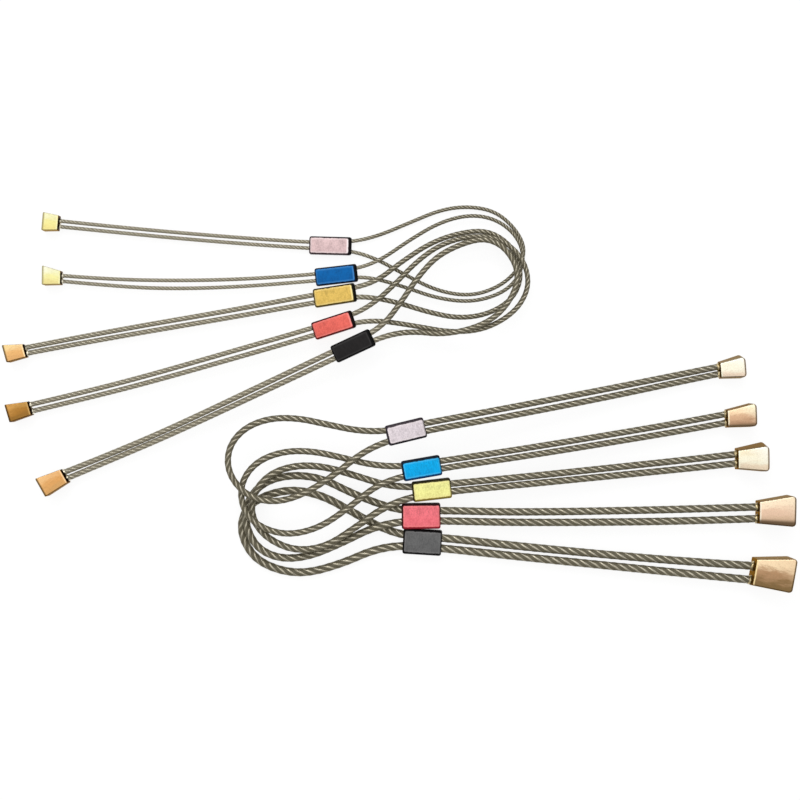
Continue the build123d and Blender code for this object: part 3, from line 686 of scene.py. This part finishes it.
def press_sleeve(nut, look, edges):
    """The flat tube with rolled edges, its ends rounded over, and an oblong hole for both legs."""
    middle, (way, level, up), (half_length, half_width, half_height) = sleeve_frame(nut)
    spread = (Vector(nut.route[4]) - Vector(nut.route[-5])).length
    hole = (spread / 2 + nut.rope / 2 + SLEEVE_PLAY, nut.rope / 2 + SLEEVE_PLAY)
    stations = []
    for step in range(SLEEVE_END_STEPS + 1):
        lean = math.tau / 4 * step / SLEEVE_END_STEPS
        inset = SLEEVE_ROUND * (1 - math.cos(lean))
        stations.append((half_length - SLEEVE_ROUND * (1 - math.sin(lean)), inset))
    outer = [(-reach, inset) for reach, inset in reversed(stations)] + stations
    rings = []
    for reach, inset in outer:
        roll = SLEEVE_ROLL - min(inset, 0.6 * SLEEVE_ROLL)
        section = oblong_ring(half_width - inset, half_height - inset, roll)
        rings.append([middle + way * reach + level * a + up * b for a, b in section])
    for reach in (half_length, half_length - SLEEVE_MOUTH, SLEEVE_MOUTH - half_length, -half_length):
        flare = SLEEVE_FLARE if abs(reach) == half_length else 0
        section = oblong_ring(hole[0] + flare, hole[1] + flare, hole[1])
        rings.append([middle + way * reach + level * a + up * b for a, b in section])
    rings.append(rings[0])
    grid = np.array([[point[:] for point in ring] for ring in rings])
    name = f"{nut.name}_pressed_sleeve"
    mesh = tube_mesh(name, [grid], [range(len(rings))], ring_shaped=True)
    piece = show(name, mesh, anodised_tube(nut, look, edges))
    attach(piece, nut.name)
    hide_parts(f"{nut.name}_sleeve")


def dress(node_name, material):
    """Gives a carried-over CAD node its finish."""
    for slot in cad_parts[node_name].material_slots:
        slot.material = material


def route_line(nut):
    """Points close together on the smooth curve whose control points are the nut's route."""
    curve = bpy.data.curves.new(f"{nut.name}_route", "CURVE")
    curve.dimensions = "3D"
    curve.resolution_u = ROUTE_STEPS
    spline = curve.splines.new("NURBS")
    spline.points.add(len(nut.route) - 1)
    for control, point in zip(spline.points, nut.route):
        control.co = (*point, 1)
    spline.order_u = 3
    spline.use_endpoint_u = True
    carrier = bpy.data.objects.new(curve.name, curve)
    line = bpy.data.meshes.new_from_object(carrier)
    points = np.array([vertex.co[:] for vertex in line.vertices])
    bpy.data.objects.remove(carrier)
    bpy.data.curves.remove(curve)
    bpy.data.meshes.remove(line)
    return points


def evenly(points, step):
    """The same line in equal steps, and how far along it each step is."""
    reached = np.concatenate(([0], np.cumsum(np.linalg.norm(np.diff(points, axis=0), axis=1))))
    distances = np.linspace(0, reached[-1], int(reached[-1] / step) + 1)
    walked = np.stack([np.interp(distances, reached, points[:, axis]) for axis in range(3)], axis=1)
    return walked, distances


def unit(vectors):
    """The same directions with a length of one."""
    return vectors / np.linalg.norm(vectors, axis=-1, keepdims=True)


def steady_frame(line):
    """Two side directions at each point of a line, which turn with it and never twist round it."""
    tangents = unit(np.gradient(line, axis=0))
    sides = np.empty_like(line)
    side = np.cross((0, 0, 1), tangents[0])
    for place, tangent in enumerate(tangents):
        side = side - side.dot(tangent) * tangent
        side = side / np.linalg.norm(side)
        sides[place] = side
    return sides, np.cross(tangents, sides)


def tube_mesh(name, tubes, ups, ring_shaped=False):
    """One smooth mesh of closed tubes, each a grid of rings, with a map round and along each.

    A ring-shaped tube has no ends: its last ring is its first.
    """
    vertices, faces, places = [], [], []
    for rings, up in zip(tubes, ups):
        count, corners = rings.shape[:2]
        first = len(vertices)
        vertices.extend(rings[: count - ring_shaped].reshape(-1, 3).tolist())
        for ring in range(count - 1):
            for corner in range(corners):
                after = (corner + 1) % corners
                low, high = first + ring * corners, first + (ring + 1) % (count - ring_shaped) * corners
                faces.append((low + corner, low + after, high + after, high + corner))
                left, right = corner / corners, (corner + 1) / corners
                below, above = up[ring], up[ring + 1]
                places += [(left, below), (right, below), (right, above), (left, above)]
        for ring, order in () if ring_shaped else ((0, -1), (count - 1, 1)):
            start = first + ring * corners
            faces.append(tuple(range(start, start + corners))[::order])
            places += [(0, up[ring])] * corners
    mesh = bpy.data.meshes.new(name)
    mesh.from_pydata(vertices, [], faces)
    mesh.uv_layers.new(name="round_and_along")
    mesh.uv_layers[0].data.foreach_set("uv", np.array(places, dtype=np.float32).ravel())
    mesh.polygons.foreach_set("use_smooth", [True] * len(faces))
    mesh.update()
    return mesh


def show(name, mesh, material):
    """A new object of the scene with its finish."""
    mesh.materials.append(material)
    piece = bpy.data.objects.new(name, mesh)
    bpy.context.scene.collection.objects.link(piece)
    return piece


def rings_round(line, outward, radius, corners):
    """Rings round a line, each starting at its inmost point, opposite to outward."""
    tangents = unit(np.gradient(line, axis=0))
    beside = unit(np.cross(tangents, outward))
    outward = np.cross(beside, tangents)
    angles = -math.pi + math.tau * np.arange(corners) / corners
    cosines, sines = np.cos(angles)[None, :, None], np.sin(angles)[None, :, None]
    return line[:, None] + (cosines * outward[:, None] + sines * beside[:, None]) * radius


def rope_tubes(nut, line, distances, lay):
    """The rings of a right-hand rope's strands, and then of its core."""
    sides, ups = steady_frame(line)
    tubes = []
    for strand in range(STRANDS):
        turn = math.tau * (strand / STRANDS + distances / lay)
        outward = np.cos(turn)[:, None] * sides + np.sin(turn)[:, None] * ups
        middle = line + outward * STRAND_MIDDLES * nut.rope
        tubes.append(rings_round(middle, outward, STRAND_RADIUS * nut.rope, STRAND_RING))
    tubes.append(rings_round(line, sides, CORE_RADIUS * nut.rope, CORE_RING))
    return tubes


def lay_rope(nut, look, lay, leg_dirt_and_shade, wire, core):
    """One wire rope: strands twisted right-handed round a core that follows the route."""
    turn_length = lay * nut.rope
    line, distances = evenly(route_line(nut), turn_length / STEPS_PER_TURN)
    tubes = rope_tubes(nut, line, distances, turn_length)
    mesh = tube_mesh(f"{nut.name}_rope", tubes, [distances / nut.rope] * len(tubes))
    # The loop is darker than the legs: partly grime, partly painted shade where the ropes cross.
    tail, mouth = (np.array(end) for end in nut.sleeve_ends())
    beyond = np.clip(((line - mouth) @ unit(mouth - tail)) / DIRT_AND_SHADE_FADE, 0, 1)
    shares = leg_dirt_and_shade + (look.loop_dirt - leg_dirt_and_shade) * beyond
    dirt = mesh.attributes.new("dirt", "FLOAT", "POINT")
    dirt.data.foreach_set("value", np.concatenate([np.repeat(shares, tube.shape[1]) for tube in tubes]))
    piece = show(f"{nut.name}_rope", mesh, wire)
    mesh.materials.append(core)
    core_faces = (len(line) - 1) * CORE_RING + 2
    kinds = [0] * (len(mesh.polygons) - core_faces) + [1] * core_faces
    mesh.polygons.foreach_set("material_index", kinds)
    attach(piece, nut.name)
    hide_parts(f"{nut.name}_cable")
    nut.leg_exits()[0][0]


def collar_rings(nut, foot, along, seed):
    """The rings of one solder collar, from the wedge's face up the rope and back down to it."""
    side = nut.out().cross(UP)
    rings = []
    for height, spread in COLLAR_PROFILE:
        ring = []
        for corner in range(COLLAR_RING):
            angle = math.tau * corner / COLLAR_RING
            way = side * math.cos(angle) + UP * math.sin(angle)
            # The seed moves each collar to a place of its own in the noise.
            lump = noise.noise(way * 1.3 + Vector((height * 1.5, seed * 7.3, 0)))
            wave = noise.noise(way * 0.9 + Vector((0, 0, seed * 3.1)))
            thick = COLLAR_FOOT * spread * (1 + COLLAR_LUMPS * lump)
            rise = COLLAR_LENGTH * height * (1 + COLLAR_WAVES * wave)
            ring.append(foot + along * rise + way * (nut.rope / 2 + thick))
        rings.append([point[:] for point in ring])
    return np.array(rings), [height for height, _ in COLLAR_PROFILE]


class RopeLook(bpy.types.PropertyGroup):
    """How the wire ropes are laid up and coloured."""

    straight_lay: FloatProperty(
        name="Straight lay", description="One turn of a strand on a straight nut, in rope diameters",
        default=4.4, min=3, max=12,
    )
    offset_lay: FloatProperty(
        name="Offset lay", description="One turn of a strand on an offset nut, in rope diameters",
        default=4.8, min=3, max=12,
    )
    # Outside this share of the half turn the gaps take grime and painted shade.
    crest_width: FloatProperty(
        name="Clean crest",
        description="Share of a strand's half turn, from its crest, that handling keeps clean",
        default=0.1, min=0.05, max=0.3,
    )
    # The next two set the painted shade on the strands' sides: none above the first, full below the
    # second.
    unshaded_above: FloatProperty(
        name="Clean above",
        description="The strands are clean where their surface faces up by more than this",
        default=0.96, min=0, max=1,
    )
    shaded_below: FloatProperty(
        name="Dirty below",
        description="The strands are dirty where their surface faces up by less than this",
        default=0.55, min=-1, max=1,
    )
    # Shares of grime and painted shade, taken away where negative; the loops' share stands partly for
    # shade where ropes cross.
    straight_dirt: FloatProperty(
        name="Straight dirt", description="Grime all over a straight nut's legs", default=-0.9, min=-1,
        max=1,
    )
    offset_dirt: FloatProperty(
        name="Offset dirt", description="Grime all over an offset nut's legs", default=-0.08, min=-1,
        max=1,
    )
    loop_dirt: FloatProperty(
        name="Loop dirt", description="Grime all over every loop", default=0.05, min=-1, max=1,
    )
    wire_light: FloatVectorProperty(
        name="Bright wire", description="Clean steel", subtype="COLOR", size=4,
        default=linear("#DCD6C4"),
    )
    wire_dull: FloatVectorProperty(
        name="Dull wire", description="Steel with a film of grease", subtype="COLOR", size=4,
        default=linear("#B8AF98"),
    )
    # Colour of grime and of the painted shade on the strands' sides and in their gaps.
    wire_grime_and_shade: FloatVectorProperty(
        name="Grime", description="What fills the gaps between strands", subtype="COLOR", size=4,
        default=linear("#787159"),
    )
    # Partly painted shade: the core shows only deep in the gaps between strands.
    grease_and_shade_dark: FloatVectorProperty(
        name="Old grease", description="The darkest of what is packed round the core", subtype="COLOR",
        size=4, default=linear("#544D3B"),
    )


class SleeveBand(bpy.types.PropertyGroup):
    """The widths of painted shade along the sleeves' edges: far, near, towards the loop and towards the
    wedge.
    """

    # Each holds widths of painted shade on the four edges, in millimetres.
    straight_edges: FloatVectorProperty(
        name="Straight edges", description="Dark edges of a straight nut's sleeve, in millimetres",
        size=4, default=(0.62, 0.6, 1.3, 0.35), min=0,
    )
    offset_edges: FloatVectorProperty(
        name="Offset edges", description="Dark edges of an offset nut's sleeve, in millimetres",
        size=4, default=(1.05, 0.85, 0.6, 0.3), min=0,
    )


class StageLook(bpy.types.PropertyGroup):
    """Camera and light."""

    camera_height: FloatProperty(
        name="Camera height", description="Above the table", default=0.7, subtype="DISTANCE",
        unit="LENGTH",
    )
    lens: FloatProperty(
        name="Lens", description="Focal length on a 36 mm wide sensor", default=78.75, unit="CAMERA",
    )
    top_power: FloatProperty(
        name="Top light", description="Large soft box overhead", default=8.7, unit="POWER",
    )
    side_power: FloatProperty(
        name="Side light", description="Smaller soft box beyond the nuts", default=6.8, unit="POWER",
    )
    sky: FloatProperty(
        name="Sky", description="Even light from all round", default=0.4, min=0, max=2,
    )


class NUTS_OT_lay_ropes(bpy.types.Operator):
    """Lay the ten wire ropes along their routes"""

    bl_idname = "nuts.lay_ropes"
    bl_label = "Lay ropes"

    def execute(self, context):
        look = context.scene.nuts_rope
        wire, core = drawn_wire(look), packed_core(look)
        for nut in STRAIGHT:
            lay_rope(nut, look, look.straight_lay, look.straight_dirt, wire, core)
        for nut in OFFSET:
            lay_rope(nut, look, look.offset_lay, look.offset_dirt, wire, core)
        return {"FINISHED"}


class NUTS_OT_run_solder(bpy.types.Operator):
    """Run a collar of solder round each leg where it leaves its wedge"""

    bl_idname = "nuts.run_solder"
    bl_label = "Run solder"

    def execute(self, context):
        # The burnt solder's near-black flux is partly burn and partly painted shade, as the small end
        # faces away from the light.
        burnt_and_shaded = run_solder("burnt_silver_solder", "#F4ECD4", "#1E1408", 0.3)
        clean = run_solder("silver_solder", "#D2C094", "#5A441C", 0.15)
        for number, nut in enumerate(STRAIGHT + OFFSET):
            collars = [
                collar_rings(nut, foot, along, 2 * number + leg)
                for leg, (foot, along) in enumerate(nut.leg_exits())
            ]
            name = f"{nut.name}_solder_collars"
            rings, heights = zip(*collars)
            piece = show(name, tube_mesh(name, rings, heights), clean if nut in OFFSET else burnt_and_shaded)
            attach(piece, nut.name)
            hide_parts(f"{nut.name}_solder")
        return {"FINISHED"}


class NUTS_OT_finish_wedges(bpy.types.Operator):
    """Give each wedge its brass or bronze"""

    bl_idname = "nuts.finish_wedges"
    bl_label = "Finish wedges"

    def execute(self, context):
        for nut in STRAIGHT + OFFSET:
            dress(f"{nut.name}_wedge", worked_brass(nut, WEDGE_LOOKS[nut.name], nut in OFFSET))
        return {"FINISHED"}


class NUTS_OT_press_sleeves(bpy.types.Operator):
    """Press a dyed sleeve on the two legs of each nut"""

    bl_idname = "nuts.press_sleeves"
    bl_label = "Press sleeves"

    def execute(self, context):
        look = context.scene.nuts_sleeve
        for nut in STRAIGHT:
            press_sleeve(nut, SLEEVE_LOOKS[nut.name], look.straight_edges)
        for nut in OFFSET:
            press_sleeve(nut, SLEEVE_LOOKS[nut.name], look.offset_edges)
        return {"FINISHED"}


def white_paper():
    """Matt white paper: its own light makes it white to the camera and to gloss, with its shadows."""
    material = bpy.data.materials.new("white_paper")
    material.use_nodes = True
    material.node_tree.nodes.clear()
    node = functools.partial(add_node, material.node_tree)
    path = node("LightPath").outputs
    seen = node("Math", [path["Is Camera Ray"], path["Is Glossy Ray"]], operation="MAXIMUM")
    seen = node("Math", [seen, path["Is Transmission Ray"]], operation="MAXIMUM")
    strength = node("Math", [seen, PAPER_GLOW], operation="MULTIPLY")
    paper = node("BsdfDiffuse", {"Color": linear("#808080")})
    both = node("AddShader", [node("Emission", {"Strength": strength}), paper])
    node("OutputMaterial", {"Surface": both})
    return material


def soft_box(name, place, size, power):
    """A rectangular lamp aimed at the middle of the table."""
    lamp = bpy.data.lights.new(name, "AREA")
    lamp.shape = "RECTANGLE"
    lamp.size, lamp.size_y = size
    lamp.energy = power
    holder = bpy.data.objects.new(name, lamp)
    holder.location = place
    holder.rotation_euler = (-Vector(place)).to_track_quat("-Z", "Y").to_euler()
    bpy.context.scene.collection.objects.link(holder)


class NUTS_OT_set_stage(bpy.types.Operator):
    """Put down the floor, the lights and the camera"""

    bl_idname = "nuts.set_stage"
    bl_label = "Set stage"

    def execute(self, context):
        look = context.scene.nuts_stage
        mesh = bpy.data.meshes.new("table")
        sides = ((-1, -1), (1, -1), (1, 1), (-1, 1))
        corners = [(x * FLOOR_HALF, y * FLOOR_HALF, -FLOOR_DROP) for x, y in sides]
        mesh.from_pydata(corners, [], [(0, 1, 2, 3)])
        show("table", mesh, white_paper())
        soft_box("top_light", *TOP_LIGHT, look.top_power)
        soft_box("side_light", *SIDE_LIGHT, look.side_power)
        world = bpy.data.worlds.new("even_sky")
        world.use_nodes = True
        world.node_tree.nodes["Background"].inputs["Strength"].default_value = look.sky
        world.node_tree.nodes["Background"].inputs["Color"].default_value = linear("#FFFFFF")
        context.scene.world = world
        camera = bpy.data.cameras.new("camera")
        camera.sensor_width = 36
        camera.lens = look.lens
        camera.clip_start = 0.01
        viewer = bpy.data.objects.new("camera", camera)
        viewer.location = (*CAMERA_PLACE, look.camera_height)
        context.scene.collection.objects.link(viewer)
        context.scene.camera = viewer
        context.scene.view_settings.view_transform = "Standard"
        return {"FINISHED"}


class NUTS_PT_panel(bpy.types.Panel):
    """Sizes, colours and steps"""

    bl_idname = "NUTS_PT_panel"
    bl_label = "Climbing nuts"
    bl_space_type = "VIEW_3D"
    bl_region_type = "UI"
    bl_category = "Nuts"

    def draw(self, context):
        for group in (context.scene.nuts_rope, context.scene.nuts_sleeve, context.scene.nuts_stage):
            box = self.layout.box()
            for name in group.__annotations__:
                box.prop(group, name)
        for step in STEPS:
            self.layout.operator(step.bl_idname)


GROUPS = {"nuts_rope": RopeLook, "nuts_sleeve": SleeveBand, "nuts_stage": StageLook}
STEPS = [
    NUTS_OT_press_sleeves,
    NUTS_OT_lay_ropes,
    NUTS_OT_run_solder,
    NUTS_OT_finish_wedges,
    NUTS_OT_set_stage,
]


def register():
    for name, group in GROUPS.items():
        bpy.utils.register_class(group)
        setattr(bpy.types.Scene, name, PointerProperty(type=group))
    for step in STEPS:
        bpy.utils.register_class(step)
    bpy.utils.register_class(NUTS_PT_panel)


def unregister():
    bpy.utils.unregister_class(NUTS_PT_panel)
    for step in reversed(STEPS):
        bpy.utils.unregister_class(step)
    for name, group in reversed(GROUPS.items()):
        delattr(bpy.types.Scene, name)
        bpy.utils.unregister_class(group)


def main():
    register()
    bpy.ops.nuts.press_sleeves()
    bpy.ops.nuts.lay_ropes()
    bpy.ops.nuts.run_solder()
    bpy.ops.nuts.finish_wedges()
    bpy.ops.nuts.set_stage()


if __name__ == "__main__":
    main()
